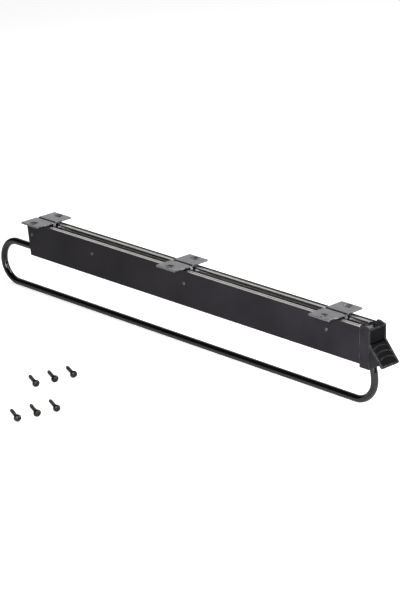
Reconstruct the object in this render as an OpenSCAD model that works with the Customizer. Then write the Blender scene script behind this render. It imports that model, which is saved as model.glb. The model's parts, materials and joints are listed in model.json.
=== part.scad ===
// Pull-out clothes rail that hangs under a wardrobe shelf, on a pair of ball slides.
// Frame: the origin is the centre of the outer four mounting holes, on the top face of the brackets.
// +X is the way the rail pulls out, +Z points up into the shelf, and the near side is -Y.

/* [Mounting brackets] */
// Distance between neighbouring pairs of brackets
bracket_pitch = 222; // [190:1:280]
// Length of one bracket along the rail
bracket_length = 29; // [26:1:40]
// Distance from the middle plane to the outer edge of a bracket
bracket_reach = 25.8; // [25:0.1:32]
// Sheet thickness of the brackets
bracket_sheet = 2; // [1.6:0.1:2.2]
// Inner radius of the bend between top plate and leg
bracket_bend = 0.6; // [0.4:0.1:0.8]
// Radius of the two outer corners of a top plate
bracket_corner = 1; // [0.5:0.1:3]
// Distance from the middle plane to the centre of a mounting hole
hole_offset = 19; // [18.5:0.1:20]
// Radius of a mounting hole
hole_radius = 2.5; // [2:0.1:3]
// Radius of the pressed dish round a mounting hole, at the top face
dish_radius = 5.8; // [5:0.1:6]
// Radius of the flat at the bottom of the dish
dish_floor_radius = 3.7; // [3.5:0.1:4.2]
// Depth of the dish
dish_depth = 1.2; // [0.6:0.1:1.5]

/* [Casing] */
// Width over the two side walls
casing_width = 26; // [26:0.5:28]
// Height under the slides, inside the walls, for the bar and its saddle
bar_room = 12.7; // [11.5:0.1:30]
// Sheet thickness of the casing
casing_sheet = 1; // [0.8:0.1:1.2]
// Outer radius of the two bends along the bottom
casing_bend = 1.6; // [1.2:0.1:3]
// Gap between the top edge of the casing and the underside of the brackets
casing_gap = 1.4; // [1.3:0.1:3]
// Overhang of the top rear corner behind the bottom rear corner
casing_rake = 5.6; // [0.5:0.1:8]
// Distance from the rear edge of the rear brackets to the bottom rear corner
casing_set_in = 0.5; // [0:0.5:4]
// Length of casing in front of the front brackets
casing_front_reach = 29.5; // [24:0.5:60]

/* [Ball slides] */
// Height of a slide
slide_height = 27; // [26:0.5:28]
// Distance between neighbouring balls in a row
ball_pitch = 14; // [8:0.5:30]
// Length of slide that stays engaged when the rail is right out
slide_overlap = 125; // [80:5:160]
// Length of the slide that reaches behind the bottom rear corner of the casing
slide_rear_reach = 1.5; // [0:0.1:2]
// Distance from the front end of the slide to the front end of the casing
slide_front_gap = 3.5; // [3:0.5:8]
// Length of the rubber buffer at the front end of a slide
buffer_length = 7; // [5:0.5:9]

/* [Hanging bar] */
// Radius of the bar
bar_radius = 4; // [3.5:0.1:4.2]
// Radius of the bends, measured to the middle of the bar
bar_bend = 24.8; // [20:0.1:40]
// Distance from the bottom rear corner of the casing back to the middle of the rear bend
bar_rear_reach = 39; // [20:1:80]
// Length of the bar's upper branch inside the casing
bar_tail = 62; // [56:1:120]
// Radius of the gentle bow that leads the bar back into the cap
bar_bow_radius = 46; // [40:1:90]
// Distance by which the front bend stands out in front of the bar's seat in the cap
bar_bow = 3; // [0.5:0.1:3.5]

/* [Front cap and handle] */
// Length of the cap along the rail
cap_length = 12.8; // [12.6:0.1:20]
// Amount by which the cap is wider than the casing, on each side
cap_side_step = 0.3; // [0.1:0.1:1]
// Depth of the cap below the bottom of the casing
cap_drop = 2.9; // [2.4:0.1:8]
// Wall thickness of the cap
cap_wall = 2.2; // [1.8:0.1:2.4]
// Length of the tongue that fits inside the casing
cap_tongue = 20; // [14:1:40]
// Angle of the handle plate from the vertical
handle_angle = 40.4; // [30:0.2:55]
// Length of the handle plate down its slope
handle_length = 28; // [24:0.5:40]
// Thickness of the handle plate
handle_thickness = 2.4; // [2:0.1:2.8]
// Height of the fold line of the handle below the top of the cap
handle_fold = 15.3; // [12:0.1:20]
// Number of grip ribs on the handle
rib_count = 3; // [1:1:3]
// Distance between neighbouring grip ribs
rib_pitch = 6.4; // [4:0.1:6.6]

/* [Fixing screws] */
// Radius of a fixing screw's shank
fixing_radius = 2; // [1.8:0.1:2.2]
// Length of a fixing screw under its head
fixing_length = 28; // [16:1:40]
// Radius of a fixing screw's head
fixing_head_radius = 4; // [3.5:0.1:4.5]

/* [Hidden] */
$fn = 64;
// Amount by which a cutting shape overruns the face that it cuts
over = 1;
// Clearance round a rivet, screw or pin in its hole
hole_fit = 0.05;

// Places along the rail: the bottom rear corner and the front end of the casing
casing_rear = -bracket_pitch - bracket_length / 2 + casing_set_in;
casing_front = bracket_pitch + bracket_length / 2 + casing_front_reach;
casing_length = casing_front - casing_rear;
slide_top_gap = 0.3;
casing_height = slide_top_gap + slide_height + bar_room;
// Heights of the casing: top edge, underside and the inner face of the floor
casing_top = -bracket_sheet - casing_gap;
casing_bottom = casing_top - casing_height;
casing_floor = casing_bottom + casing_sheet;
wall_inside = casing_width / 2 - casing_sheet;

// Bracket bend and pressed dish
bend_outer = bracket_bend + bracket_sheet;
dish_wall = 1;

// Slides: the fixed rail stands on the bracket legs and the sliding rail on the casing walls.
// Across the slide, each sheet and gap is a share of the room between leg and wall.
slide_depth = wall_inside - bracket_sheet;
slide_sheet_share = 0.12;
slide_sheet = slide_sheet_share * slide_depth;
casing_per_ball = 13;
ball_radius = casing_width / casing_per_ball;
ball_play_share = 0.01;
ball_play = ball_play_share * slide_depth;
lip_gap_share = 0.03;
lip_gap = lip_gap_share * slide_depth;
fixed_margin_share = 0.01;
fixed_margin = fixed_margin_share * slide_depth;
cage_gap_share = 0.02;
cage_gap = cage_gap_share * slide_depth;
cage_web_share = 0.06;
cage_web = cage_web_share * slide_depth;
cage_lip_share = 0.08;
cage_lip = cage_lip_share * slide_depth;
cage_side_gap = slide_depth - 3 * slide_sheet - lip_gap - 2 * (ball_radius + ball_play)
                - fixed_margin - cage_gap - cage_web;
slide_rear = casing_rear - slide_rear_reach;
slide_front = casing_front - slide_front_gap;
slide_length = slide_front - slide_rear;
slide_middle = casing_top - slide_top_gap - slide_height / 2;
slide_travel = slide_length - slide_overlap;
// Seen end on, the race of the sliding rail wraps over the balls and ends in a lip
race_radius = ball_radius + ball_play;
race_back = race_radius + slide_sheet;
lip_share = 0.25;
lip_drop = lip_share * ball_radius;
ball_across = bracket_sheet + slide_sheet + lip_gap + race_back;
ball_height = slide_height / 2 - race_back;
flange_crease = 0.6;
// The cage runs between the lip and the fixed rail, with the same gap to each
cage_sheet_share = 0.25;
cage_sheet = cage_sheet_share * ball_radius;
cage_top = ball_height - lip_drop - cage_gap;
pocket_play = 0.1;
pocket_radius = sqrt(pow(ball_radius, 2) - pow(ball_height - cage_top, 2)) + pocket_play;
cage_edge = ball_across - race_radius - cage_lip;
// The fixed rail: the flat of its flange under the cage, and the outer edge of the flange
fixed_flat = cage_top - cage_sheet - cage_gap;
fixed_edge = ball_across + race_radius + fixed_margin;
cage_web_face = fixed_edge + cage_gap;
// Stops: bent tabs that catch the cage, and a rubber buffer that the closed rail rests on
stop_sheet = 1.2;
stop_gap = 0.5;
stop_low = 3.5;
stop_high = 7.5;
buffer_proud = 2;
buffer_gap = 0.3;
buffer_edge = 0.8;
buffer_rear = slide_front + buffer_proud - buffer_length;
fixed_front = buffer_rear - buffer_gap;
cage_travel = slide_travel / 2;
cage_rear = slide_rear + stop_sheet + stop_gap + cage_travel;
cage_length = fixed_front - slide_rear - slide_travel - 2 * stop_sheet - 2 * stop_gap;
ball_margin = 6;
ball_gaps = floor((cage_length - 2 * ball_margin) / ball_pitch);
first_ball = cage_rear + (cage_length - ball_gaps * ball_pitch) / 2;

// Rivets through the bracket legs, and the ones that hold the sliding rails to the casing
leg_rivet_radius = 2;
leg_rivet_head = 3.5;
leg_rivet_rise = 1;
leg_rivet_share = 0.26;
wall_rivet_radius = 1.5;
wall_rivet_head = 2.1;
wall_rivet_rise = 0.9;
wall_rivet_inner_share = 0.7;
wall_rivet_inner_rise = wall_rivet_inner_share * cage_side_gap;
wall_rivet_shares = [0.006, 0.209, 0.5, 0.91];

// Hanging bar: its upper branch lies on the casing's floor and its front end goes up into the cap
bar_floor_gap = 0.1;
bar_upper = casing_floor + bar_floor_gap + bar_radius;
bar_lower = bar_upper - 2 * bar_bend;
bar_rear_middle = casing_rear - bar_rear_reach;
bar_tail_end = casing_rear + bar_tail;
bar_front_gap = 0.2;
cap_front = casing_front + cap_length;
cap_bottom = casing_bottom - cap_drop;
bar_front = cap_front - cap_wall - bar_front_gap - bar_radius;
bar_fit = 0.05;
lowest = bar_lower - bar_radius;
// Front end: a quarter bend, the bow, and a turned-down spigot that stands upright in the cap
bar_front_middle = bar_front + bar_bow - bar_bend;
bar_bow_middle = bar_front + bar_bow - bar_bow_radius;
bar_seat = 1.5;
bow_angle = asin((cap_bottom + bar_seat - bar_lower - bar_bend) / bar_bow_radius);
spigot_radius = 3;
spigot_root = 2;
spigot_x = bar_bow_middle + bar_bow_radius * cos(bow_angle);
seat_gap = 0.15;
seat_depth = 6;

// Saddle that clamps the bar's tail to the casing's floor
saddle_set_in = 4;
saddle_rear = casing_rear + saddle_set_in;
saddle_length = 54;
saddle_side_gap = 0.2;
saddle_cover = 2.6;
saddle_top = bar_upper + bar_radius + saddle_cover;
saddle_chamfer = 1.5;
saddle_half = wall_inside - saddle_side_gap;
pin_radius = 1.5;
pin_share = 0.8;
pin_recess = 0.4;
pin_length = saddle_cover + 2 * bar_radius - 2 * pin_recess;

// Small pan-head screws that go up through the casing's floor
floor_screw_radius = 1.5;
floor_screw_head = 2.8;
floor_screw_rise = 1.7;
floor_screw_length = 8;
floor_screw_margin = 4;
floor_screw_across = wall_inside - floor_screw_margin;
floor_screw_point = 1.2;
saddle_screw_share = 0.45;
tongue_screw_share = 0.5;

// Cap: an open-topped box with a tongue inside the casing and a socket for the bar
cap_half = casing_width / 2 + cap_side_step;
tongue_gap = 0.2;
tongue_slide_gap = 0.8;
tongue_top = slide_middle - slide_height / 2 - tongue_slide_gap;
lug_start = 1;
lug_rise = 2.4;
lug_round = 2;
lug_flat = 2.4;
cap_edge = 0.5;
shelf_thickness = 3;
socket_wall = 2.4;
bar_end_depth = 23.8;
bar_top = casing_top - bar_end_depth;
bar_top_gap = 0.2;
end_screw_radius = 2;
end_screw_head = 3.8;
end_screw_rise = 2.4;
end_screw_length = 15;
end_screw_point = 0.8;

// Handle: a sunk panel with a rim all round it, and curved ribs across the panel
panel_depth = 0.9;
rim_width = 2;
rim_top = 1.5;
handle_corner = 2;
panel_corner = 1;
first_rib = 7.8;
rib_radius = 24;
rib_width = 1.3;
rib_height = 0.7;
fold_height = casing_top - handle_fold;
fold_mitre = panel_depth * tan(handle_angle / 2);

// Loose fixing screws, lying in two rows on the surface under the bar
fixing_head_rise = 2.8;
fixing_point = 2;
fixing_step = 22.5;
fixing_row_turn = 77.5;
fixing_turn = -27;
fixing_row_x = -14;
fixing_row_y = -175.5;
next_row_x = 56.5;
next_row_y = -74;
fixing_rows = [[fixing_row_x, fixing_row_y], [fixing_row_x + next_row_x, fixing_row_y + next_row_y]];
fixing_tilt = asin((fixing_head_radius - fixing_radius) / fixing_length);

// Tip of a screw as a share of its shank, and its cross recess as shares of its head
screw_tip_share = 0.25;
recess_length_share = 0.62;
recess_width_share = 0.2;
recess_depth_share = 0.5;

PLACES = ["rear", "middle", "front"];
SIDES = ["near", "far"];
BRACKETS = [for (place = PLACES) for (side = SIDES) str("bracket_", place, "_", side)];

// Extrudes an outline drawn across the rail, in Y and Z, along the rail
module along(from, length) {
    translate([from, 0, 0]) rotate([90, 0, 90]) linear_extrude(length) children();
}

// Extrudes an outline drawn along the rail, in X and Z, across the rail
module across(from, width) {
    translate([0, from + width, 0]) rotate([90, 0, 0]) linear_extrude(width) children();
}

// A block between two corners
module block(low, high) {
    translate(low) cube(high - low);
}

// Puts what is drawn on the far side onto the near side instead
module on_side(side) {
    mirror([0, side == "near" ? 1 : 0, 0]) children();
}

// A low domed head on the plane z = 0
module dome(radius, rise) {
    ball = (pow(radius, 2) + pow(rise, 2)) / (2 * rise);
    rotate_extrude() intersection() {
        translate([0, rise - ball]) circle(ball);
        square([radius, rise]);
    }
}

// A cylinder that points away from the middle plane, between two distances from it
module cross_pin(radius, from, to) {
    translate([0, from, 0]) rotate([-90, 0, 0]) cylinder(h = to - from, r = radius);
}

// A pan-head screw: its head stands on the plane z = 0 and its shank points down
module pan_screw(radius, length, point, head_radius, head_rise) {
    arm = head_radius * recess_length_share;
    half = head_radius * recess_width_share;
    depth = head_rise * recess_depth_share;
    difference() {
        dome(head_radius, head_rise);
        block([-arm, -half, head_rise - depth], [arm, half, head_rise + over]);
        block([-half, -arm, head_rise - depth], [half, arm, head_rise + over]);
    }
    translate([0, 0, point - length]) cylinder(h = length - point, r = radius);
    translate([0, 0, -length]) cylinder(h = point, r1 = radius * screw_tip_share, r2 = radius);
}

function bracket_middle(place) = bracket_pitch * (place == "rear" ? -1 : place == "front" ? 1 : 0);
function leg_rivets() = [for (s = [-1, 1]) s * leg_rivet_share * bracket_length];
function wall_rivets() = [for (share = wall_rivet_shares) casing_rear + share * casing_length];

// Outline of a bracket's leg and bend, seen end on
module leg_outline() {
    leg_bottom = slide_middle - fixed_flat;
    translate([0, leg_bottom]) square([bracket_sheet, -bend_outer - leg_bottom]);
    translate([bend_outer, -bend_outer]) intersection() {
        difference() {
            circle(bend_outer);
            circle(bracket_bend);
        }
        translate([-bend_outer, 0]) square(bend_outer);
    }
}

// Outline of a bracket's top plate, seen from above, with its outer corners rounded
module plate_outline() {
    round_from = bracket_reach - bracket_corner;
    translate([-bracket_length / 2, bend_outer]) square([bracket_length, round_from - bend_outer]);
    translate([bracket_corner - bracket_length / 2, round_from])
        square([bracket_length - 2 * bracket_corner, bracket_corner]);
    for (s = [-1, 1])
        translate([s * (bracket_length / 2 - bracket_corner), round_from]) circle(bracket_corner);
}

// An angle bracket with a mounting hole in a pressed dish, riveted to the slide by its leg
module bracket(place, side) {
    color("#3c3b3d") translate([bracket_middle(place), 0, 0]) on_side(side) difference() {
        union() {
            along(-bracket_length / 2, bracket_length) leg_outline();
            translate([0, 0, -bracket_sheet]) linear_extrude(bracket_sheet) plate_outline();
            translate([0, hole_offset, -bracket_sheet - dish_depth])
                cylinder(h = dish_depth, r1 = dish_floor_radius + dish_wall, r2 = dish_radius);
        }
        translate([0, hole_offset, -dish_depth])
            cylinder(h = dish_depth, r1 = dish_floor_radius, r2 = dish_radius);
        translate([0, hole_offset, -bracket_sheet - dish_depth - over])
            cylinder(h = bracket_sheet + dish_depth + 2 * over, r = hole_radius);
        for (x = leg_rivets())
            translate([x, 0, slide_middle]) cross_pin(leg_rivet_radius + hole_fit, -over, bracket_sheet + over);
    }
}

// Rivets that clench the two fixed rails and each pair of bracket legs together
module bracket_rivets() {
    reach = bracket_sheet + slide_sheet;
    color("#b9bbbd") for (place = PLACES) for (x = leg_rivets())
        translate([bracket_middle(place) + x, 0, slide_middle]) {
            cross_pin(leg_rivet_radius, -reach, reach);
            for (side = SIDES)
                on_side(side) translate([0, reach, 0]) rotate([-90, 0, 0]) dome(leg_rivet_head, leg_rivet_rise);
        }
}

// Outline of the fixed rail: a web against the bracket legs and two grooved flanges for the balls
module fixed_outline() {
    width = fixed_edge - bracket_sheet;
    difference() {
        intersection() {
            union() {
                translate([bracket_sheet, -fixed_flat]) square([slide_sheet, 2 * fixed_flat]);
                for (s = [-1, 1]) {
                    translate([ball_across, s * ball_height]) circle(race_back);
                    translate([bracket_sheet, s * (fixed_flat - slide_sheet / 2) - slide_sheet / 2])
                        square([width, slide_sheet]);
                }
            }
            translate([bracket_sheet, -fixed_flat]) square([width, 2 * fixed_flat]);
        }
        for (s = [-1, 1]) translate([ball_across, s * ball_height]) circle(race_radius);
    }
}

// Inner slide member, fixed to the brackets, with a bent stop for the cage at its front end
module fixed_rail(side) {
    color("#c9cbcd") on_side(side) translate([0, 0, slide_middle]) difference() {
        union() {
            along(slide_rear, fixed_front - slide_rear) fixed_outline();
            block([fixed_front - stop_sheet, bracket_sheet, -stop_high],
                  [fixed_front, cage_web_face + cage_web, -stop_low]);
        }
        for (place = PLACES) for (x = leg_rivets())
            translate([bracket_middle(place) + x, 0, 0])
                cross_pin(leg_rivet_radius + hole_fit, bracket_sheet - over, bracket_sheet + slide_sheet + over);
    }
}

// Outline of the sliding rail: a web against the casing wall and two races that wrap over the balls
module sliding_outline() {
    web_half = slide_height / 2 - flange_crease;
    translate([wall_inside - slide_sheet, -web_half]) square([slide_sheet, 2 * web_half]);
    for (s = [0, 1]) mirror([0, s]) {
        translate([ball_across, web_half - slide_sheet])
            difference() {
                square([wall_inside - ball_across, slide_sheet]);
                translate([0, ball_height - web_half + slide_sheet]) circle(race_radius);
            }
        translate([ball_across, ball_height]) difference() {
            circle(race_back);
            circle(race_radius);
            translate([-race_back - over, -race_back - over])
                square([2 * (race_back + over), race_back + over]);
            translate([0, -over])
                square([race_back + over, web_half - slide_sheet - ball_height + over]);
        }
        translate([ball_across - race_back, ball_height - lip_drop]) square([slide_sheet, lip_drop]);
    }
}

// Outer slide member, riveted to the casing wall, with a bent stop for the cage at its rear end
module sliding_rail(side) {
    color("#d2d3d4") on_side(side) translate([0, 0, slide_middle]) difference() {
        union() {
            along(slide_rear, slide_length) sliding_outline();
            block([slide_rear, cage_web_face, stop_low], [slide_rear + stop_sheet, wall_inside, stop_high]);
        }
        for (x = wall_rivets())
            translate([x, 0, 0])
                cross_pin(wall_rivet_radius + hole_fit, wall_inside - slide_sheet - over, wall_inside + over);
    }
}

// Cage that keeps both rows of balls spaced, a thin channel with a pocket for each ball
module ball_cage(side) {
    color("#a9abad") on_side(side) translate([0, 0, slide_middle]) difference() {
        union() {
            block([cage_rear, cage_web_face, -cage_top],
                  [cage_rear + cage_length, cage_web_face + cage_web, cage_top]);
            for (s = [0, 1]) mirror([0, 0, s])
                block([cage_rear, cage_edge, cage_top - cage_sheet],
                      [cage_rear + cage_length, cage_web_face + cage_web, cage_top]);
        }
        for (i = [0 : ball_gaps]) for (s = [0, 1]) mirror([0, 0, s])
            translate([first_ball + i * ball_pitch, ball_across, cage_top - cage_sheet - over])
                cylinder(h = cage_sheet + 2 * over, r = pocket_radius);
    }
}

// The balls of one slide, in an upper and a lower row
module balls(side) {
    color("#dfe0e1") on_side(side) for (i = [0 : ball_gaps]) for (s = [-1, 1])
        translate([first_ball + i * ball_pitch, ball_across, slide_middle + s * ball_height])
            sphere(ball_radius);
}

// Rubber buffer that plugs the front end of a sliding rail and stops it against the fixed rail
module end_buffer(side) {
    low = ball_across - race_back + buffer_edge;
    rise = cage_top - buffer_edge;
    color("#77787a") on_side(side) translate([0, 0, slide_middle]) {
        block([buffer_rear, low, -rise], [slide_front + buffer_proud - buffer_edge, wall_inside - slide_sheet, rise]);
        block([buffer_rear, low + buffer_edge, buffer_edge - rise],
              [slide_front + buffer_proud, wall_inside - slide_sheet - buffer_edge, rise - buffer_edge]);
    }
}

// Outline of a channel with two bent lower edges, open at the top
module channel_outline(half, bottom, bend) {
    translate([-half, bottom + bend]) square([2 * half, casing_top + over - bottom - bend]);
    translate([bend - half, bottom]) square([2 * (half - bend), bend]);
    for (s = [-1, 1]) translate([s * (half - bend), bottom + bend]) circle(bend);
}

// Sheet-steel channel that carries the sliding rails, the bar and the cap; its rear edge is raked
module casing() {
    half = casing_width / 2;
    color("#2f2c31") difference() {
        along(casing_rear - casing_rake, casing_length + casing_rake) intersection() {
            difference() {
                channel_outline(half, casing_bottom, casing_bend);
                channel_outline(half - casing_sheet, casing_floor, casing_bend - casing_sheet);
            }
            translate([-half, casing_bottom]) square([2 * half, casing_height]);
        }
        across(-half - over, 2 * (half + over))
            polygon([[casing_rear - casing_rake - over, casing_top],
                     [casing_rear - casing_rake, casing_top],
                     [casing_rear, casing_bottom],
                     [casing_rear, casing_bottom - over],
                     [casing_rear - casing_rake - over, casing_bottom - over]]);
        for (x = wall_rivets()) for (side = SIDES)
            on_side(side) translate([x, 0, slide_middle])
                cross_pin(wall_rivet_radius + hole_fit, wall_inside - over, half + over);
        for (x = [saddle_screw_x(), tongue_screw_x()]) for (s = [-1, 1])
            translate([x, s * floor_screw_across, casing_bottom - over])
                cylinder(h = casing_sheet + 2 * over, r = floor_screw_radius + hole_fit);
    }
}

// Rivets with a low round head on the outside of a casing wall
module casing_rivets(side) {
    color("#3a383c") on_side(side) for (x = wall_rivets()) translate([x, 0, slide_middle]) {
        cross_pin(wall_rivet_radius, wall_inside - slide_sheet, casing_width / 2);
        translate([0, casing_width / 2, 0]) rotate([-90, 0, 0]) dome(wall_rivet_head, wall_rivet_rise);
        translate([0, wall_inside - slide_sheet, 0]) rotate([90, 0, 0]) dome(wall_rivet_head, wall_rivet_inner_rise);
    }
}

// A bend of the bar, starting at the given angle in the plane of the bar
module bar_turn(from, angle, bend) {
    rotate([90, 0, 0]) rotate([0, 0, from]) rotate_extrude(angle = angle)
        translate([bend, 0]) circle(bar_radius);
}

// A straight stretch of the bar that points forward
module bar_straight(from, to, height) {
    translate([from, 0, height]) rotate([0, 90, 0]) cylinder(h = to - from, r = bar_radius);
}

// Hanging bar: one rod, bent back under the casing at the rear and up into the cap at the front
module hanging_bar() {
    color("#121214") difference() {
        union() {
            bar_straight(bar_rear_middle, bar_tail_end, bar_upper);
            translate([bar_rear_middle, 0, bar_lower + bar_bend]) bar_turn(90, 180, bar_bend);
            bar_straight(bar_rear_middle, bar_front_middle, bar_lower);
            translate([bar_front_middle, 0, bar_lower + bar_bend]) bar_turn(270, 90, bar_bend);
            translate([bar_bow_middle, 0, bar_lower + bar_bend]) bar_turn(0, bow_angle, bar_bow_radius);
            translate([spigot_x, 0, cap_bottom + bar_seat - spigot_root])
                cylinder(h = bar_top - cap_bottom - bar_seat + spigot_root, r = spigot_radius);
        }
        translate([pin_x(), 0, bar_upper - bar_radius - over])
            cylinder(h = 2 * (bar_radius + over), r = pin_radius + hole_fit);
        translate([spigot_x, 0, bar_top - end_screw_length])
            cylinder(h = end_screw_length + over, r = end_screw_radius + hole_fit);
    }
}

function saddle_screw_x() = saddle_rear + saddle_screw_share * saddle_length;
function tongue_screw_x() = casing_front - tongue_screw_share * cap_tongue;
function pin_x() = saddle_rear + pin_share * saddle_length;

// Plastic saddle that holds the bar's tail down on the casing's floor
module bar_saddle() {
    bore = bar_radius + bar_fit;
    color("#1d1d1f") difference() {
        along(saddle_rear, saddle_length)
            polygon([[-saddle_half, casing_floor + casing_bend],
                     [casing_bend - saddle_half, casing_floor],
                     [saddle_half - casing_bend, casing_floor],
                     [saddle_half, casing_floor + casing_bend],
                     [saddle_half, saddle_top - saddle_chamfer],
                     [saddle_half - saddle_chamfer, saddle_top],
                     [saddle_chamfer - saddle_half, saddle_top],
                     [-saddle_half, saddle_top - saddle_chamfer]]);
        translate([saddle_rear - over, 0, bar_upper]) rotate([0, 90, 0])
            cylinder(h = saddle_length + 2 * over, r = bore);
        block([saddle_rear - over, -bore, casing_floor - over],
              [saddle_rear + saddle_length + over, bore, bar_upper]);
        translate([pin_x(), 0, bar_upper])
            cylinder(h = saddle_top - bar_upper + over, r = pin_radius + hole_fit);
        for (s = [-1, 1]) translate([saddle_screw_x(), s * floor_screw_across, casing_floor - over])
            cylinder(h = floor_screw_length + over, r = floor_screw_radius + hole_fit);
    }
}

// A pair of small screws that go up through the casing's floor
module floor_screws(x) {
    color("#2a2a2c") for (s = [-1, 1])
        translate([x, s * floor_screw_across, casing_bottom]) rotate([180, 0, 0])
            pan_screw(floor_screw_radius, floor_screw_length, floor_screw_point, floor_screw_head, floor_screw_rise);
}

// Steel pin that locks the bar's tail in the saddle
module bar_pin() {
    color("#a5a7a9") translate([pin_x(), 0, saddle_top - pin_recess - pin_length])
        cylinder(h = pin_length, r = pin_radius);
}

// Side wall of the cap, with a raised lug that slopes down to the front corner
module cap_side_outline() {
    lug_rear = casing_front + lug_start;
    lug_top = casing_top + lug_rise;
    polygon([[casing_front, cap_bottom], [casing_front, casing_top], [lug_rear, casing_top],
             [lug_rear, lug_top - lug_round], [lug_rear + lug_round, lug_top],
             [lug_rear + lug_round + lug_flat, lug_top], [cap_front, casing_top], [cap_front, cap_bottom]]);
    translate([lug_rear + lug_round, lug_top - lug_round]) circle(lug_round);
}

// Place in the side view that is some way down the handle's face and some way proud of it
function down_handle(down, proud) = [
    cap_front + down * sin(handle_angle) + proud * cos(handle_angle),
    fold_height - down * cos(handle_angle) + proud * sin(handle_angle)];

// Puts what is drawn on the handle plate in place: +X is proud of the plate and -Z runs down it
module on_handle() {
    translate([cap_front, 0, fold_height]) rotate([0, -handle_angle, 0]) children();
}

// Face of the handle plate from the fold down, drawn in Y and Z, with rounded lower corners
module handle_outline(half, length, corner) {
    translate([-half, corner - length]) square([2 * half, length - corner]);
    translate([corner - half, -length]) square([2 * (half - corner), corner]);
    for (s = [-1, 1]) translate([s * (half - corner), corner - length]) circle(corner);
}

// Side view of the hollow over the sunk panel, from the top rim round the fold and past the handle's lower edge
module panel_side_outline() {
    polygon([[cap_front - panel_depth, casing_top - rim_top],
             [cap_front - panel_depth, fold_height - fold_mitre],
             down_handle(handle_length, -panel_depth),
             down_handle(handle_length, over),
             [cap_front + over, fold_height + over * tan(handle_angle / 2)],
             [cap_front + over, casing_top - rim_top]]);
}

// The hollow over the sunk panel: the side view, kept inside the rim and its rounded lower corners
module panel_hollow() {
    intersection() {
        across(-cap_half, 2 * cap_half) panel_side_outline();
        on_handle() translate([-handle_length, 0, handle_length]) rotate([90, 0, 90])
            linear_extrude(2 * handle_length)
                handle_outline(cap_half - rim_width, 2 * handle_length - rim_width, panel_corner);
    }
}

// The curved grip ribs, each as wide as the sunk panel
module grip_ribs() {
    half = cap_half - rim_width + panel_depth / 2;
    for (i = [0 : rib_count - 1]) {
        ends = first_rib + i * rib_pitch - handle_length;
        middle = ends - sqrt(pow(rib_radius, 2) - pow(half, 2));
        intersection() {
            translate([-panel_depth - rib_height, 0, middle]) rotate([0, 90, 0]) difference() {
                cylinder(h = 2 * rib_height, r = rib_radius + rib_width / 2);
                translate([0, 0, -over]) cylinder(h = 2 * (rib_height + over), r = rib_radius - rib_width / 2);
            }
            block([-panel_depth - rib_height, -half, ends - rib_width], [rib_height, half, ends + rib_radius]);
        }
    }
}

// Moulded end cap: an open-topped box, the tongue inside the casing, the bar's socket and the handle
module front_cap() {
    inner = cap_half - cap_wall;
    color("#3b3b3e") difference() {
        union() {
            across(-cap_half, cap_wall) cap_side_outline();
            across(inner, cap_wall) cap_side_outline();
            block([casing_front, -cap_half, cap_bottom], [cap_front, cap_half, cap_bottom + cap_wall]);
            block([casing_front, -cap_half, cap_bottom], [casing_front + cap_wall, cap_half, tongue_top]);
            block([cap_front - cap_wall, -cap_half, cap_bottom], [cap_front, cap_half, casing_top]);
            block([casing_front - cap_tongue, tongue_gap - wall_inside, casing_floor + tongue_gap + casing_bend],
                  [casing_front + cap_wall, wall_inside - tongue_gap, tongue_top]);
            block([casing_front - cap_tongue, casing_bend - wall_inside, casing_floor],
                  [casing_front + cap_wall, wall_inside - casing_bend, tongue_top]);
            translate([spigot_x, 0, cap_bottom])
                cylinder(h = bar_top + bar_top_gap + shelf_thickness - cap_bottom, r = spigot_radius + socket_wall);
            on_handle() translate([-handle_thickness, 0, 0]) rotate([90, 0, 90])
                linear_extrude(handle_thickness) handle_outline(cap_half, handle_length, handle_corner);
        }
        panel_hollow();
        translate([bar_bow_middle, 0, bar_lower + bar_bend]) rotate([0, -bow_angle, 0])
            translate([bar_bow_radius, 0, -seat_depth]) cylinder(h = seat_depth + seat_gap, r = bar_radius + seat_gap);
        translate([spigot_x, 0, cap_bottom - over])
            cylinder(h = bar_top + bar_top_gap - cap_bottom + over, r = spigot_radius + bar_fit);
        translate([spigot_x, 0, bar_top])
            cylinder(h = shelf_thickness + bar_top_gap + over, r = end_screw_radius + hole_fit);
        for (s = [-1, 1]) translate([tongue_screw_x(), s * floor_screw_across, casing_floor - over])
            cylinder(h = floor_screw_length + over, r = floor_screw_radius + hole_fit);
    }
    color("#3b3b3e") on_handle() grip_ribs();
}

// Screw that draws the bar's front end up against the shelf in its socket
module bar_end_screw() {
    color("#a5a7a9") translate([spigot_x, 0, bar_top + bar_top_gap + shelf_thickness])
        pan_screw(end_screw_radius, end_screw_length, end_screw_point, end_screw_head, end_screw_rise);
}

// The six screws that fix the brackets to a shelf, lying loose in two rows
module fixing_screws() {
    color("#1c1c1e") for (row = fixing_rows) for (i = [-1 : 1])
        translate([row[0] + i * fixing_step * cos(fixing_row_turn), row[1] + i * fixing_step * sin(fixing_row_turn),
                   lowest + fixing_head_radius])
            rotate([0, 0, fixing_turn]) rotate([0, 90 - fixing_tilt, 0])
                pan_screw(fixing_radius, fixing_length, fixing_point, fixing_head_radius, fixing_head_rise);
}

for (place = PLACES) for (side = SIDES)
    bracket(place, side);
bracket_rivets();
fixed_rail("near");  // fixed_rail_near
fixed_rail("far");  // fixed_rail_far
sliding_rail("near");  // sliding_rail_near
sliding_rail("far");  // sliding_rail_far
ball_cage("near");  // ball_cage_near
ball_cage("far");  // ball_cage_far
balls("near");  // balls_near
balls("far");  // balls_far
end_buffer("near");  // end_buffer_near
end_buffer("far");  // end_buffer_far
casing();
casing_rivets("near");  // casing_rivets_near
casing_rivets("far");  // casing_rivets_far
hanging_bar();
bar_saddle();
floor_screws(saddle_screw_x());  // saddle_screws
bar_pin();
front_cap();
floor_screws(tongue_screw_x());  // cap_screws
bar_end_screw();
fixing_screws();
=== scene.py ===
"""Looks of a pull-out clothes rail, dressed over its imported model.

Lengths are in millimetres until they are placed in the scene, which is in metres."""
import json
import math

import bmesh
import bpy
from mathutils import Matrix, Vector


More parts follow.
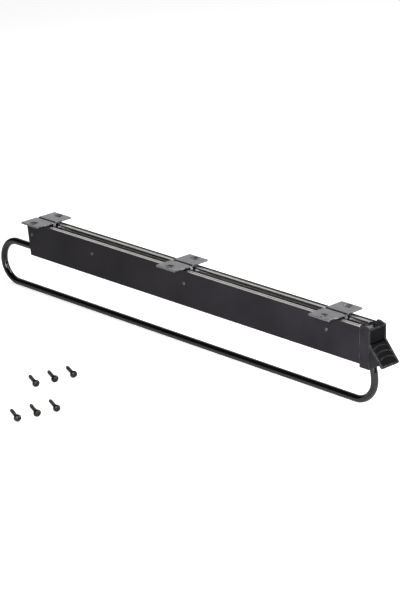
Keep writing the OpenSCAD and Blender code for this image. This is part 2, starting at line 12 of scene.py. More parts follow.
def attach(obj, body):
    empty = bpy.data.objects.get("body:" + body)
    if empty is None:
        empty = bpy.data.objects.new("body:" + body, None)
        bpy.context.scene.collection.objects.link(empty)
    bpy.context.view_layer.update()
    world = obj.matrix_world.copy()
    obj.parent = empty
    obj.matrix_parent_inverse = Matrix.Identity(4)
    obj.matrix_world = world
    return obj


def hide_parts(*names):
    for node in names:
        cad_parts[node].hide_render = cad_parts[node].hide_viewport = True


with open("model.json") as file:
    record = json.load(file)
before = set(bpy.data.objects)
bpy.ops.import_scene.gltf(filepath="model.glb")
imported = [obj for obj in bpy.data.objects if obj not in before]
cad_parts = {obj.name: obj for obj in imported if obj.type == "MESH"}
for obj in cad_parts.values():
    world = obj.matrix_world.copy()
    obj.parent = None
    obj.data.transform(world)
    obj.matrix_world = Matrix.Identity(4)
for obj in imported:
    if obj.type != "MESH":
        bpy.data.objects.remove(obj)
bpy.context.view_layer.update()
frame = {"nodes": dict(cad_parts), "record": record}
NODES = frame["nodes"]
BODY_OF = {n: body for body, names in frame["record"]["behaviour"]["bodies"].items() for n in names}
SLOT_OF = {}
MM = 0.001
# The floor's height, and how far it reaches from the middle, in metres
FLOOR, FLOOR_REACH = -91.9, 4.0

# The bar's path, as the part's source has it
BAR_RADIUS = 4.0
BAR_BEND, BAR_BOW_RADIUS = 24.8, 46.0
BAR_UPPER, BAR_LOWER = -38.3, -87.9
BAR_TAIL_END, BAR_REAR, BAR_FRONT, BAR_BOW = -174.0, -275.0, 250.6, 229.4
BAR_BOW_ANGLE, BAR_TOP = 23.4, -27.2
SPIGOT_RADIUS, SPIGOT_ROOT = 3.0, 2.0

# The loose fixing screws: six places, one lie
SCREW_RADIUS, SCREW_LENGTH, SCREW_POINT = 2.0, 28.0, 2.0
SCREW_HEAD_RADIUS, SCREW_HEAD_RISE = 4.0, 2.8
SCREW_STEP, SCREW_ROW_TURN, SCREW_TURN = 22.5, 77.5, -27.0
SCREW_ROWS = [(-14.0, -175.5), (42.5, -249.5)]
# Their thread, and how many of its turns are left off below the head
THREAD_PITCH, PLAIN_TURNS = 1.6, 1.5
# The core as a share of the shank, its tip as one of the core, and the cross recess as shares of the head
CORE_SHARE, POINT_SHARE = 0.9, 0.6
RECESS_LENGTH_SHARE, RECESS_WIDTH_SHARE = 1.1, 0.26
# The dome of a pan head: its height by the way out from its middle, both as shares
PAN_HEAD = [(0.0, 1.0), (0.3, 0.96), (0.55, 0.84), (0.75, 0.62), (0.9, 0.36), (1.0, 0.05)]

# How close points are merged, how flat neighbouring faces are to become one, and the turn from which an edge
# is rounded or shaded sharp, in degrees
MERGED_WITHIN, FLAT_WITHIN, ROUNDED_FROM, SHARP_FROM = 0.0005, 0.5, 35, 50
# The directions that the cap's sunk panels face: its front, and the outer face of the pull
PULL_ANGLE = math.radians(40.4)
PANELS = {"front_cap": [Vector((1.0, 0.0, 0.0)), Vector((math.cos(PULL_ANGLE), 0.0, math.sin(PULL_ANGLE)))]}
# The depths below the rim between which a panel and its ribs lie, and how much scuff and painted edge
# highlight the ribs' edges take
PANEL_FROM, PANEL_TO, RIB_WEAR_AND_HIGHLIGHT = 0.15, 3.0, 0.4
# How far a face points a panel's way: a flat face of it, and the rounded edges in it
FLAT_FACING, EDGE_FACING = 0.995, 0.3

# How wide the scuffs and painted highlight patches on the edges are
SCUFF_AND_HIGHLIGHT = 6.0

# Light: the even light of the room, what lifts the floor to white, and how bright the floor is in gloss
SKY = 0.25
FLOOR_LIFT, FLOOR_SHINE = 0.56, 0.05
# The backdrop in gloss: its direction, where it fades in, and the light that it leaves elsewhere
BACKDROP, BACKDROP_EDGE, BACKDROP_REST = (-0.70, 0.70, 0.15), (0.72, 0.92), 0.02
# The glow above the horizon in gloss: the heights between which it fades, and its light
HORIZON_EDGE, HORIZON_LIGHT = (0.05, 0.25), 0.3
# Each soft box: where it stands, where it points, its width and height, all in metres, and its power
LAMPS = [("near_soft_box", (0.6, -0.7, 0.35), (0.15, 0.0, -0.03), 0.5, 0.5, 10.0),
         ("front_strip", (1.12, 0.67, 0.92), (-0.1, 0.0, -0.05), 0.4, 1.1, 14.0),
         ("high_strip", (0.29, 0.89, 1.3), (-0.1, 0.0, -0.05), 0.4, 0.9, 12.0),
         ("low_box", (1.2, -0.72, 0.12), (0.27, 0.0, -0.05), 0.3, 0.3, 2.0)]

# Camera: solved from the photograph, a long lens from the front, the near side and above
LENS, SENSOR = 135.18, 36.0
CAMERA_PLACE = (1.6604, -1.6207, 0.7978)
CAMERA_RIGHT, CAMERA_UP = Vector((0.707674, 0.706408, -0.013568)), Vector((-0.232475, 0.250940, 0.939673))
CAMERA_BACK = Vector((0.667197, -0.661828, 0.341806))


def linear(code):
    """An sRGB hex colour as linear red, green, blue and alpha."""
    parts = [int(code[i:i + 2], 16) / 255 for i in (0, 2, 4)]
    return (*[c / 12.92 if c <= 0.04045 else ((c + 0.055) / 1.055) ** 2.4 for c in parts], 1.0)


# Inputs of a mix by their number: its share, and its first and second number or colour
SHARE, NUMBER_1, NUMBER_2, COLOUR_1, COLOUR_2 = 0, 2, 3, 6, 7


def add(tree, kind, links=None, **settings):
    """Adds a node with its settings.

    Each entry of links is an input's value, or the output or node that feeds it."""
    node = tree.nodes.new(kind)
    for name, value in settings.items():
        setattr(node, name, value)
    for name, value in (links or {}).items():
        if isinstance(value, bpy.types.Node):
            value = next(o for o in value.outputs if o.enabled)
        if isinstance(value, bpy.types.NodeSocket):
            tree.links.new(value, node.inputs[name])
        else:
            node.inputs[name].default_value = value
    return node


# Materials

def new_material(name, slot="", nodes=()):
    """A material with an empty tree, its object coordinates, and the CAD nodes that take it."""
    material = bpy.data.materials.new(name)
    material.use_nodes = True
    tree = material.node_tree
    tree.nodes.clear()
    for n in nodes:
        SLOT_OF[n] = slot
        NODES[n].data.materials.clear()
        NODES[n].data.materials.append(material)
    return material, tree, add(tree, "ShaderNodeTexCoord").outputs["Object"]


def mottled(tree, coords, finish):
    """Paint, plating or plastic: two shades in clouds, uneven sheen, a fine relief, and paler edges that are
    partly wear and partly painted highlight.

    Sizes in the finish are in millimetres; stretch draws the sheen and the relief out along an axis."""
    drawn = add(tree, "ShaderNodeMapping", {
        "Vector": coords, "Scale": [1 / s for s in finish.get("stretch", (1, 1, 1))]})
    clouds = add(tree, "ShaderNodeTexNoise", {
        "Vector": coords, "Scale": 1 / (finish["cloud"] * MM), "Detail": 3.0})
    shade = add(tree, "ShaderNodeMapRange", {"Value": clouds, "From Min": 0.35, "From Max": 0.65})
    colour = add(tree, "ShaderNodeMix", {
        SHARE: shade, COLOUR_1: linear(finish["dark"]), COLOUR_2: linear(finish["light"])}, data_type="RGBA")
    patches = add(tree, "ShaderNodeTexNoise", {
        "Vector": drawn, "Scale": 1 / (finish["patch"] * MM), "Detail": 4.0})
    sheen = add(tree, "ShaderNodeMapRange", {
        "Value": patches, "From Min": 0.3, "From Max": 0.7,
        "To Min": finish["rough"][0], "To Max": finish["rough"][1]})
    relief = add(tree, "ShaderNodeTexNoise", {
        "Vector": drawn, "Scale": 1 / (finish["grain"] * MM), "Detail": 3.0})
    bump = add(tree, "ShaderNodeBump", {
        "Height": relief, "Distance": finish["depth"] * MM, "Strength": 1.0})
    if "sunk" in finish:
        # The sunk panels get a near-black colour, which is painted shade in the recesses
        sunk = add(tree, "ShaderNodeAttribute", attribute_name="sunk").outputs["Fac"]
        colour = add(tree, "ShaderNodeMix", {
            SHARE: sunk, COLOUR_1: colour, COLOUR_2: linear(finish["sunk"])}, data_type="RGBA")
    # Paler edges, partly scuffs from hands and boxes and partly a painted highlight: the attribute marks
    # them, and the noise breaks them up
    edge_wear_and_highlight = add(tree, "ShaderNodeAttribute", attribute_name="edge_wear_and_highlight").outputs["Fac"]
    scuffs_and_highlight = add(tree, "ShaderNodeTexNoise", {"Vector": coords, "Scale": 1 / (SCUFF_AND_HIGHLIGHT * MM), "Detail": 5.0})
    broken = add(tree, "ShaderNodeMapRange", {
        "Value": scuffs_and_highlight, "From Min": 0.4, "From Max": 0.62, "To Max": finish["wear_and_highlight"]})
    rubbed_and_highlit = add(tree, "ShaderNodeMath", {0: edge_wear_and_highlight, 1: broken}, operation="MULTIPLY")
    colour = add(tree, "ShaderNodeMix", {
        SHARE: rubbed_and_highlit, COLOUR_1: colour, COLOUR_2: linear(finish["rubbed_and_highlit"])}, data_type="RGBA")
    shader = add(tree, "ShaderNodeBsdfPrincipled", {
        "Base Color": colour, "Metallic": finish["metal"], "Roughness": sheen, "Normal": bump})
    if not finish["metal"]:
        shader.inputs["IOR"].default_value = finish["ior"]
        shader.inputs["Specular IOR Level"].default_value = finish["shine"]
    add(tree, "ShaderNodeOutputMaterial", {"Surface": shader})


BRACKETS = [n for n in NODES if n.startswith("bracket_") and n != "bracket_rivets"]
FINISHES = [
    # Powder coat, sprayed and baked on sheet steel: satin black, fine orange peel, edges paler with scuffs
    # and painted highlight
    dict(name="powder_coated_casing", slot="casing_steel", nodes=["casing"], dark="1b191d", light="242226",
         cloud=55, patch=14, rough=(0.42, 0.5), grain=1.1, depth=0.02, rubbed_and_highlit="605e62", wear_and_highlight=0.7, metal=0,
         ior=1.5, shine=0.1),
    # The same coat on the rivet heads, smoother over the turned metal so that they catch a point of light,
    # and lighter than the casing's as painted sheen
    dict(name="powder_coated_rivets_painted_sheen", slot="black_rivets", nodes=["casing_rivets_near", "casing_rivets_far"],
         dark="3a383d", light="454348", cloud=3, patch=2, rough=(0.22, 0.3), grain=0.9, depth=0.015,
         rubbed_and_highlit="77757a", wear_and_highlight=0.5, metal=0, ior=1.6, shine=0.5),
    # Black passivated zinc on pressed steel: grey satin where the light glances, corners paler with scuffs
    # and painted highlight
    dict(name="black_zinc_brackets", slot="bracket_steel", nodes=BRACKETS, dark="737275", light="7f7e81",
         cloud=9, patch=4, rough=(0.3, 0.38), grain=0.8, depth=0.02, rubbed_and_highlit="a09fa1", wear_and_highlight=0.8, metal=1),
    # Bright zinc on rolled steel: fine rolling lines along the slide and a faint cloudy passivation
    dict(name="zinc_plated_slides", slot="zinc_slides", dark="bebdba", light="cecdcb",
         nodes=["fixed_rail_near", "fixed_rail_far", "sliding_rail_near", "sliding_rail_far"], cloud=12,
         stretch=(60, 1, 1), patch=0.7, rough=(0.2, 0.34), grain=0.5, depth=0.006, rubbed_and_highlit="d8d8d6", wear_and_highlight=0.6,
         metal=1),
    # Plain zinc on the punched cage, duller than the slides
    dict(name="zinc_plated_cage", slot="cage_steel", nodes=["ball_cage_near", "ball_cage_far"], dark="8f9091",
         light="a2a3a4", cloud=6, stretch=(12, 1, 1), patch=1.2, rough=(0.34, 0.46), grain=0.6, depth=0.01,
         rubbed_and_highlit="c0c0c0", wear_and_highlight=0.5, metal=1),
    # Zinc on set rivets, the pin and the end screw: dull, with hammered heads
    dict(name="zinc_plated_rivets", slot="zinc_rivets", nodes=["bracket_rivets", "bar_pin", "bar_end_screw"],
         dark="a3a4a5", light="b8b9ba", cloud=3, patch=1.2, rough=(0.28, 0.42), grain=0.9, depth=0.03,
         rubbed_and_highlit="cfcfcf", wear_and_highlight=0.5, metal=1),
    # Hardened steel balls, lapped to a mirror, with a film of grease
    dict(name="lapped_ball_steel", slot="ball_steel", nodes=["balls_near", "balls_far"], dark="c6c7c9",
         light="dcdddf", cloud=1.5, patch=1.0, rough=(0.06, 0.14), grain=0.8, depth=0.001, rubbed_and_highlit="dcdddf",
         wear_and_highlight=0.0, metal=1),
    # ABS from a spark-eroded mould: matt dark grey, even grain; edges paler with scuffs and painted
    # highlight, sunk panels painted shade
    dict(name="moulded_abs_cap", slot="cap_plastic", nodes=["front_cap"], dark="222124", light="29282b",
         cloud=14, patch=3, rough=(0.38, 0.5), grain=0.7, depth=0.03, rubbed_and_highlit="6e6d71", wear_and_highlight=0.85, metal=0,
         ior=1.5, shine=0.05, sunk="060607"),
    # Glass-filled nylon, moulded: black with a dull bloom along the flow
    dict(name="moulded_nylon_saddle", slot="saddle_plastic", nodes=["bar_saddle"], dark="161617",
         light="232325", cloud=10, stretch=(4, 1, 1), patch=2, rough=(0.45, 0.6), grain=1.2, depth=0.03,
         rubbed_and_highlit="3c3c3e", wear_and_highlight=0.5, metal=0, ior=1.5, shine=0.4),
    # Grey moulded rubber, matt and slightly dusty
    dict(name="moulded_rubber_buffer", slot="buffer_rubber", nodes=["end_buffer_near", "end_buffer_far"],
         dark="626364", light="7c7d7e", cloud=3, patch=1.5, rough=(0.7, 0.85), grain=0.9, depth=0.04,
         rubbed_and_highlit="9a9b9c", wear_and_highlight=0.5, metal=0, ior=1.5, shine=0.3),
    # Black oxide on steel, oiled: near black with a soft uneven sheen
    dict(name="black_oxide_screws", slot="black_screws", nodes=["saddle_screws", "cap_screws"], dark="2f2d2c",
         light="464341", cloud=4, patch=2, rough=(0.3, 0.46), grain=1.0, depth=0.01, rubbed_and_highlit="6c6c6e",
         wear_and_highlight=0.6, metal=1),
]
STUFF = {}
for finish in FINISHES:
    STUFF[finish["slot"]], tree, coords = new_material(finish["name"], finish["slot"], finish["nodes"])
    mottled(tree, coords, finish)

# Black stoving lacquer on a bent rod: deep gloss, a hint of orange peel, and hairlines from hooks on top
HAIRLINE, HAIRLINE_STRETCH = 0.5, 30
PEEL, PEEL_DEPTH = 3.0, 0.01
STUFF["bar_lacquer"], tree, coords = new_material("gloss_lacquered_bar")
across = add(tree, "ShaderNodeMapping", {"Vector": coords, "Scale": (1.0, 1 / HAIRLINE_STRETCH, 1.0)})
hairlines = add(tree, "ShaderNodeTexNoise", {"Vector": across, "Scale": 1 / (HAIRLINE * MM), "Detail": 1.0})
lines = add(tree, "ShaderNodeMapRange", {"Value": hairlines, "From Min": 0.62, "From Max": 0.7})
upward = add(tree, "ShaderNodeSeparateXYZ", {"Vector": add(tree, "ShaderNodeNewGeometry").outputs["Normal"]})
top_side = add(tree, "ShaderNodeMapRange", {
    "Value": upward.outputs["Z"], "From Min": 0.5, "From Max": 0.95, "To Max": 0.35})
scuffed = add(tree, "ShaderNodeMath", {0: lines, 1: top_side}, operation="MULTIPLY")
colour = add(tree, "ShaderNodeMix", {
    SHARE: scuffed, COLOUR_1: linear("060607"), COLOUR_2: linear("1c1c1d")}, data_type="RGBA")
sheen = add(tree, "ShaderNodeMapRange", {"Value": scuffed, "To Min": 0.09, "To Max": 0.3})
peel = add(tree, "ShaderNodeTexNoise", {"Vector": coords, "Scale": 1 / (PEEL * MM), "Detail": 1.0})
bump = add(tree, "ShaderNodeBump", {"Height": peel, "Distance": PEEL_DEPTH * MM, "Strength": 1.0})
shader = add(tree, "ShaderNodeBsdfPrincipled", {
    "Base Color": colour, "Roughness": sheen, "Normal": bump, "IOR": 1.5})
add(tree, "ShaderNodeOutputMaterial", {"Surface": shader})


# Pieces

def stand_for(obj, node, slot):
    """Lets a finished piece ride with its node's body and stand for that node."""
    SLOT_OF[node] = slot
    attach(obj, BODY_OF[node])
    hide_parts(node)


def mesh_object(name, mesh, material=None):
    """Links a mesh as an object at the origin."""
    obj = bpy.data.objects.new(name, mesh)
    bpy.context.scene.collection.objects.link(obj)
    if material is not None:
        mesh.materials.clear()
        mesh.materials.append(material)
    return obj


def plain_mesh(obj, name):
    """The object's mesh with its modifiers worked in; the object itself is removed."""
    bpy.context.view_layer.update()
    mesh = bpy.data.meshes.new_from_object(obj.evaluated_get(bpy.context.evaluated_depsgraph_get()))
    bpy.data.objects.remove(obj)
    mesh.name = name
    return mesh


def mark_panels(shell, edge_wear_and_highlight, ways):
    """Marks the faces sunk below their rim for painted shade, and gives the ribs' edges a weaker scuff and
    painted highlight.
    """
    sunk = shell.faces.layers.float.new("sunk")
    shell.normal_update()
    for way in ways:
        flat = [(face, face.calc_center_median().dot(way)) for face in shell.faces
                if face.normal.dot(way) > FLAT_FACING]
        rim = max(reach for _, reach in flat)
        for face, reach in flat:
            face[sunk] = float(reach < rim - PANEL_FROM * MM)
        for face in shell.faces:
            below = rim - face.calc_center_median().dot(way)
            edge = face[edge_wear_and_highlight] and face.normal.dot(way) > EDGE_FACING
            if edge and PANEL_FROM * MM < below < PANEL_TO * MM:
                face[edge_wear_and_highlight] = RIB_WEAR_AND_HIGHLIGHT


def softened(node, name, width, segments=2):
    """A merged copy of a CAD node with its outer edges rounded, as on deburred sheet and moulded corners."""
    shell = bmesh.new()
    shell.from_mesh(NODES[node].data)
    bmesh.ops.remove_doubles(shell, verts=shell.verts, dist=MERGED_WITHIN * MM)
    bmesh.ops.dissolve_limit(shell, angle_limit=math.radians(FLAT_WITHIN), use_dissolve_boundaries=False,
                             verts=shell.verts, edges=shell.edges)
    # The rounded edges are marked for a paler colour: scuffs, and a painted edge highlight
    edge_wear_and_highlight = shell.faces.layers.float.new("edge_wear_and_highlight")
    edges = [e for e in shell.edges if e.is_convex and e.calc_face_angle(0) > math.radians(ROUNDED_FROM)]
    made = bmesh.ops.bevel(shell, geom=edges, offset=width * MM, offset_type="OFFSET", segments=segments,
                           profile=0.5, affect="EDGES", clamp_overlap=False)
    for face in made["faces"]:
        face[edge_wear_and_highlight] = 1.0
    if node in PANELS:
        mark_panels(shell, edge_wear_and_highlight, PANELS[node])
    mesh = bpy.data.meshes.new(name)
    shell.to_mesh(mesh)
    shell.free()
    if "custom_normal" in mesh.attributes:
        mesh.attributes.remove(mesh.attributes["custom_normal"])
    mesh.shade_smooth()
    mesh.set_sharp_from_angle(angle=math.radians(SHARP_FROM))
    draft = mesh_object(name + "_draft", mesh)
    # Flat faces keep their own normal right up to the rounded edges
    weighted = draft.modifiers.new("flat_faces", "WEIGHTED_NORMAL")
    weighted.mode, weighted.weight, weighted.keep_sharp = "FACE_AREA", 100, True
    obj = mesh_object(name, plain_mesh(draft, name), STUFF[SLOT_OF[node]])
    stand_for(obj, node, SLOT_OF[node])


softened("casing", "casing_channel", 0.2)
softened("front_cap", "cap_and_pull", 0.35)
for bracket in BRACKETS:
    softened(bracket, bracket.replace("bracket", "angle"), 0.25)
for side in ("near", "far"):
    softened(f"end_buffer_{side}", f"rubber_buffer_{side}", 0.6, segments=4)
    softened(f"sliding_rail_{side}", f"sliding_member_{side}", 0.12)
    softened(f"fixed_rail_{side}", f"fixed_member_{side}", 0.12)
softened("bar_saddle", "saddle_block", 0.5)


def node_group(name, inputs):
    """An empty geometry tree with a geometry input and output, and its named sizes."""
    group = bpy.data.node_groups.new(name, "GeometryNodeTree")
    group.interface.new_socket("Geometry", in_out="INPUT", socket_type="NodeSocketGeometry")
    for label, kind in inputs:
        group.interface.new_socket(label, in_out="INPUT", socket_type=kind)
    group.interface.new_socket("Geometry", in_out="OUTPUT", socket_type="NodeSocketGeometry")
    return group, add(group, "NodeGroupInput").outputs


def end_tree(group, parts, material):
    """Closes a tree: its parts are joined, made real, shaded smooth and given their material."""
    joined = add(group, "GeometryNodeJoinGeometry")
    for part in parts:
        group.links.new(part.outputs[0], joined.inputs[0])
    real = add(group, "GeometryNodeRealizeInstances", {"Geometry": joined})
    smooth = add(group, "GeometryNodeSetShadeSmooth", {"Geometry": real})
    painted = add(group, "GeometryNodeSetMaterial", {"Geometry": smooth, "Material": material})
    add(group, "NodeGroupOutput", {"Geometry": painted})


def grown(base, group, values, name, node, slot, smooth=40):
    """Runs a tree on a base object and keeps its result as a plain mesh that stands for a node."""
    modifier = base.modifiers.new(group.name, "NODES")
    modifier.node_group = group
    values["Material"] = STUFF[slot]
    for item in group.interface.items_tree:
        if item.item_type == "SOCKET" and item.in_out == "INPUT" and item.name in values:
            modifier[item.identifier] = values[item.name]
    mesh = plain_mesh(base, name)
    mesh.set_sharp_from_angle(angle=math.radians(smooth))
    stand_for(mesh_object(name, mesh), node, slot)


LENGTH, COUNT, PLACE, MATERIAL = "NodeSocketFloat", "NodeSocketInt", "NodeSocketVector", "NodeSocketMaterial"


# The bar: a round rod swept along its bent path, and the thinner spigot on its front end

def arc(centre_x, radius, first, last, step=3.0):
    """Points of a bend at the height of the bends' middles, by angles from straight up towards the front."""
    count = round(abs(last - first) / step)
    turns = [math.radians(first + (last - first) * i / count) for i in range(count + 1)]
    return [(centre_x + radius * math.sin(t), BAR_LOWER + BAR_BEND + radius * math.cos(t)) for t in turns]


def bar_line():
    """The rod's middle line, from its tail round the rear bend and along to the bow under the cap."""
    points = [(BAR_TAIL_END, BAR_UPPER)] + arc(BAR_REAR, BAR_BEND, 0, -180)
    points += arc(BAR_FRONT, BAR_BEND, 180, 90) + arc(BAR_BOW, BAR_BOW_RADIUS, 90, 90 - BAR_BOW_ANGLE)[1:]
    line = bpy.data.curves.new("bar_line", "CURVE")
    line.dimensions = "3D"
    spline = line.splines.new("POLY")
    spline.points.add(len(points) - 1)
    for point, (x, z) in zip(spline.points, points):
        point.co = (x * MM, 0.0, z * MM, 1.0)
    obj = bpy.data.objects.new("bar_line", line)
    bpy.context.scene.collection.objects.link(obj)
    return obj, points[-1]


rod, given = node_group("bent_rod", [("Radius", LENGTH), ("Sides", COUNT), ("Spigot Radius", LENGTH),
                                     ("Spigot Foot", PLACE), ("Spigot Top", PLACE), ("Material", MATERIAL)])
ring = add(rod, "GeometryNodeCurvePrimitiveCircle", {"Resolution": given["Sides"], "Radius": given["Radius"]})
tube = add(rod, "GeometryNodeCurveToMesh", {
    "Curve": given["Geometry"], "Profile Curve": ring, "Fill Caps": True})
upright = add(rod, "GeometryNodeCurvePrimitiveLine", {
    "Start": given["Spigot Foot"], "End": given["Spigot Top"]})
small_ring = add(rod, "GeometryNodeCurvePrimitiveCircle", {
    "Resolution": given["Sides"], "Radius": given["Spigot Radius"]})
spigot = add(rod, "GeometryNodeCurveToMesh", {
    "Curve": upright, "Profile Curve": small_ring, "Fill Caps": True})
end_tree(rod, [tube, spigot], given["Material"])
path, (end_x, end_z) = bar_line()
grown(path, rod, {
    "Radius": BAR_RADIUS * MM, "Sides": 40, "Spigot Radius": SPIGOT_RADIUS * MM,
    "Spigot Foot": (end_x * MM, 0.0, (end_z - SPIGOT_ROOT) * MM),
    "Spigot Top": (end_x * MM, 0.0, BAR_TOP * MM)},
    "lacquered_bar", "hanging_bar", "bar_lacquer", smooth=60)


# A pan-head screw: domed head with a cross recess, core, point, and a thread that winds round the core

def screw_tree():
    """The tree that sets one screw on each point, turned by the point's own lie."""
    group, given = node_group("threaded_screw", [
        ("Core Radius", LENGTH), ("Thread Depth", LENGTH), ("Thread Rise", LENGTH), ("Thread Turns", LENGTH),
        ("Core Length", LENGTH), ("Point", LENGTH), ("Point Radius", LENGTH), ("Head Radius", LENGTH),
        ("Head Rise", LENGTH), ("Recess", PLACE), ("Recess Place", PLACE), ("Core Place", PLACE),
        ("Core End", PLACE), ("Material", MATERIAL)])
    # Head: a thin disc of rings, raised by the share of the way out to a dome that is flatter than a ball
    disc = add(group, "GeometryNodeMeshCylinder", {
        "Vertices": 40, "Side Segments": 1, "Fill Segments": 10, "Radius": given["Head Radius"],
        "Depth": 0.02 * MM}, fill_type="TRIANGLE_FAN")
    flat = add(group, "ShaderNodeVectorMath", {
        0: add(group, "GeometryNodeInputPosition"), 1: (1.0, 1.0, 0.0)}, operation="MULTIPLY")
    out = add(group, "ShaderNodeVectorMath", {0: flat}, operation="LENGTH")
    share = add(group, "ShaderNodeMath", {0: out.outputs["Value"], 1: given["Head Radius"]},
                operation="DIVIDE")
    dome = add(group, "ShaderNodeFloatCurve", {"Value": share})
    curve = dome.mapping.curves[0]
    for way_out, height in PAN_HEAD[1:-1]:
        curve.points.new(way_out, height)
    curve.points[0].location, curve.points[-1].location = PAN_HEAD[0], PAN_HEAD[-1]
    dome.mapping.update()
    height = add(group, "ShaderNodeMath", {0: dome, 1: given["Head Rise"]}, operation="MULTIPLY")
    head = add(group, "GeometryNodeSetPosition", {
        "Geometry": disc.outputs["Mesh"], "Selection": disc.outputs["Top"],
        "Offset": add(group, "ShaderNodeCombineXYZ", {"Z": height})})
    # Cross recess: a bar cut out of the dome twice, a quarter turn apart
    for turn in (0.0, math.pi / 2):
        bar = add(group, "GeometryNodeMeshCube", {"Size": given["Recess"]})
        cutter = add(group, "GeometryNodeTransform", {
            "Geometry": bar, "Translation": given["Recess Place"], "Rotation": (0.0, 0.0, turn)})
        head = add(group, "GeometryNodeMeshBoolean", {"Mesh 1": head, "Mesh 2": cutter},
                   operation="DIFFERENCE", solver="EXACT")
    core = add(group, "GeometryNodeMeshCylinder", {
        "Vertices": 32, "Radius": given["Core Radius"], "Depth": given["Core Length"]})
    core = add(group, "GeometryNodeTransform", {"Geometry": core, "Translation": given["Core Place"]})
    point = add(group, "GeometryNodeMeshCone", {
        "Vertices": 32, "Radius Top": given["Point Radius"], "Radius Bottom": given["Core Radius"],
        "Depth": given["Point"]})
    point = add(group, "GeometryNodeTransform", {
        "Geometry": point, "Rotation": (math.pi, 0.0, 0.0), "Translation": given["Core End"]})
    # Thread: a ridge of three sides that winds up the core
    winding = add(group, "GeometryNodeCurveSpiral", {
        "Resolution": 24, "Rotations": given["Thread Turns"], "Start Radius": given["Core Radius"],
        "End Radius": given["Core Radius"], "Height": given["Thread Rise"]})
    ridge = add(group, "GeometryNodeCurvePrimitiveCircle", {
        "Resolution": 3, "Radius": given["Thread Depth"]})
    thread = add(group, "GeometryNodeCurveToMesh", {
        "Curve": winding, "Profile Curve": ridge, "Fill Caps": True})
    thread = add(group, "GeometryNodeTransform", {"Geometry": thread, "Translation": given["Core End"]})
    one = add(group, "GeometryNodeJoinGeometry")
    for part in (head, core, point, thread):
        group.links.new(part.outputs[0], one.inputs[0])
    # Each place has its own lie, kept as an attribute
    lie = add(group, "GeometryNodeInputNamedAttribute", {"Name": "lie"}, data_type="FLOAT_VECTOR").outputs[0]
    turn = add(group, "FunctionNodeEulerToRotation", {"Euler": lie})
    many = add(group, "GeometryNodeInstanceOnPoints", {
        "Points": given["Geometry"], "Instance": one, "Rotation": turn})
    end_tree(group, [many], given["Material"])
    return group


def lying_places():
    """Where the heads of the loose screws sit, and how each lies: on its side, on its head and its tip."""
    tilt = math.asin((SCREW_HEAD_RADIUS - SCREW_RADIUS) / SCREW_LENGTH)
    lie = (0.0, math.pi / 2 - tilt, math.radians(SCREW_TURN))
    row = math.radians(SCREW_ROW_TURN)
    step_x, step_y = SCREW_STEP * math.cos(row), SCREW_STEP * math.sin(row)
    return [((x + i * step_x, y + i * step_y, FLOOR + SCREW_HEAD_RADIUS), lie)
            for x, y in SCREW_ROWS for i in (-1, 0, 1)]


places = lying_places()
mesh = bpy.data.meshes.new("loose_screws")
mesh.from_pydata([[c * MM for c in seat] for seat, _ in places], [], [])
for item, (_, lie) in zip(mesh.attributes.new("lie", "FLOAT_VECTOR", "POINT").data, places):
    item.vector = lie
core = CORE_SHARE * SCREW_RADIUS
straight = SCREW_LENGTH - SCREW_POINT
recess = (RECESS_LENGTH_SHARE * SCREW_HEAD_RADIUS, RECESS_WIDTH_SHARE * SCREW_HEAD_RADIUS, SCREW_HEAD_RISE)
grown(mesh_object("loose_screws_places", mesh), screw_tree(), {
    "Core Radius": core * MM, "Thread Depth": (SCREW_RADIUS - core) * MM,
    "Thread Rise": (straight - PLAIN_TURNS * THREAD_PITCH) * MM,
    "Thread Turns": straight / THREAD_PITCH - PLAIN_TURNS, "Core Length": straight * MM,
    "Point": SCREW_POINT * MM, "Point Radius": POINT_SHARE * core * MM, "Head Radius": SCREW_HEAD_RADIUS * MM,
    "Head Rise": SCREW_HEAD_RISE * MM, "Recess": [c * MM for c in recess],
    "Recess Place": (0.0, 0.0, SCREW_HEAD_RISE * MM), "Core Place": (0.0, 0.0, -straight / 2 * MM),
    "Core End": (0.0, 0.0, -straight * MM)}, "loose_screws", "fixing_screws", "black_screws")


# Floor, light and camera

def stage_tree(holder):
    """An empty node tree of a floor or world, and what tells rays straight on and rays in gloss or glass."""
    holder.use_nodes = True
    tree = holder.node_tree
    tree.nodes.clear()
    rays = add(tree, "ShaderNodeLightPath").outputs
    shiny = add(tree, "ShaderNodeMath", {0: rays["Is Glossy Ray"], 1: rays["Is Transmission Ray"]},
                operation="MAXIMUM")
    return tree, rays["Is Camera Ray"], shiny


# Pale paper sweep: it keeps the object's shadow, and its own light only lifts it to white
paper = bpy.data.materials.new("paper_sweep")
tree, straight_on, shiny = stage_tree(paper)
lift = add(tree, "ShaderNodeMix", {SHARE: straight_on, NUMBER_1: 0.0, NUMBER_2: FLOOR_LIFT})
lift = add(tree, "ShaderNodeMix", {SHARE: shiny, NUMBER_1: lift, NUMBER_2: FLOOR_SHINE})
matt = add(tree, "ShaderNodeBsdfDiffuse", {"Color": linear("f4f4f4")})
glow = add(tree, "ShaderNodeEmission", {"Color": (1.0, 1.0, 1.0, 1.0), "Strength": lift})
add(tree, "ShaderNodeOutputMaterial", {"Surface": add(tree, "ShaderNodeAddShader", {0: matt, 1: glow})})
sweep = bpy.data.meshes.new("floor")
corners = [(-1, -1), (1, -1), (1, 1), (-1, 1)]
sweep.from_pydata([(x * FLOOR_REACH, y * FLOOR_REACH, FLOOR * MM) for x, y in corners], [], [(0, 1, 2, 3)])
mesh_object("floor", sweep, paper)

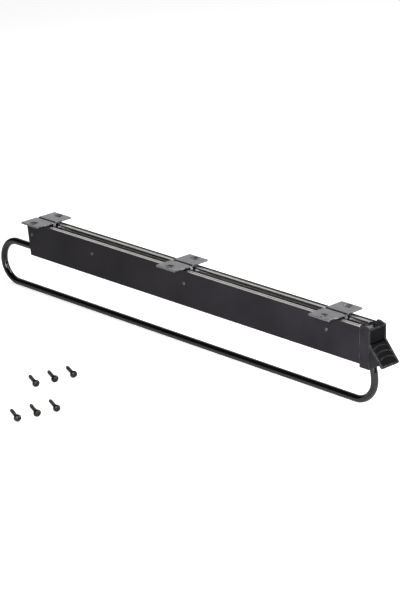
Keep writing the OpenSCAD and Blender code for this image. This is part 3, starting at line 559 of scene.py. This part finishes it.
# World: soft even light. Straight on it is white, and in gloss it is a white backdrop behind the object
world = bpy.data.worlds.new("studio")
bpy.context.scene.world = world
tree, straight_on, shiny = stage_tree(world)
way = add(tree, "ShaderNodeTexCoord").outputs["Generated"]
facing = add(tree, "ShaderNodeVectorMath", {0: way, 1: BACKDROP}, operation="DOT_PRODUCT").outputs["Value"]
backdrop = add(tree, "ShaderNodeMapRange", {
    "Value": facing, "From Min": BACKDROP_EDGE[0], "From Max": BACKDROP_EDGE[1], "To Min": BACKDROP_REST})
height = add(tree, "ShaderNodeSeparateXYZ", {"Vector": way})
horizon = add(tree, "ShaderNodeMapRange", {
    "Value": height.outputs["Z"], "From Min": HORIZON_EDGE[0], "From Max": HORIZON_EDGE[1],
    "To Min": HORIZON_LIGHT, "To Max": 0.0})
backdrop = add(tree, "ShaderNodeMath", {0: backdrop, 1: horizon}, operation="MAXIMUM")
soft = add(tree, "ShaderNodeMix", {SHARE: shiny, NUMBER_1: SKY, NUMBER_2: backdrop})
strength = add(tree, "ShaderNodeMix", {SHARE: straight_on, NUMBER_1: soft, NUMBER_2: 1.0})
sky = add(tree, "ShaderNodeBackground", {"Color": (1.0, 1.0, 1.0, 1.0), "Strength": strength})
add(tree, "ShaderNodeOutputWorld", {"Surface": sky})

# Soft boxes, each shining from its place towards its target
for name, spot, target, width, height, power in LAMPS:
    light = bpy.data.lights.new(name, "AREA")
    light.shape = "RECTANGLE"
    light.size, light.size_y = width, height
    light.energy = power
    box = bpy.data.objects.new(name, light)
    bpy.context.scene.collection.objects.link(box)
    box.location = spot
    box.rotation_mode = "QUATERNION"
    box.rotation_quaternion = (Vector(target) - Vector(spot)).to_track_quat("-Z", "Y")
    box.visible_camera = False

camera = bpy.data.cameras.new("camera")
camera.lens = LENS
camera.sensor_width = SENSOR
camera.sensor_fit = "AUTO"
camera.clip_start, camera.clip_end = 0.1, 20.0
view = bpy.data.objects.new("camera", camera)
bpy.context.scene.collection.objects.link(view)
turned = Matrix((CAMERA_RIGHT, CAMERA_UP, CAMERA_BACK)).transposed().to_4x4()
view.matrix_world = Matrix.Translation(CAMERA_PLACE) @ turned
bpy.context.scene.camera = view
bpy.context.scene.view_settings.view_transform = "Standard"

bare = [n for n in NODES if n not in SLOT_OF]
if bare:
    raise SystemExit(f"nodes without a finish: {bare}")
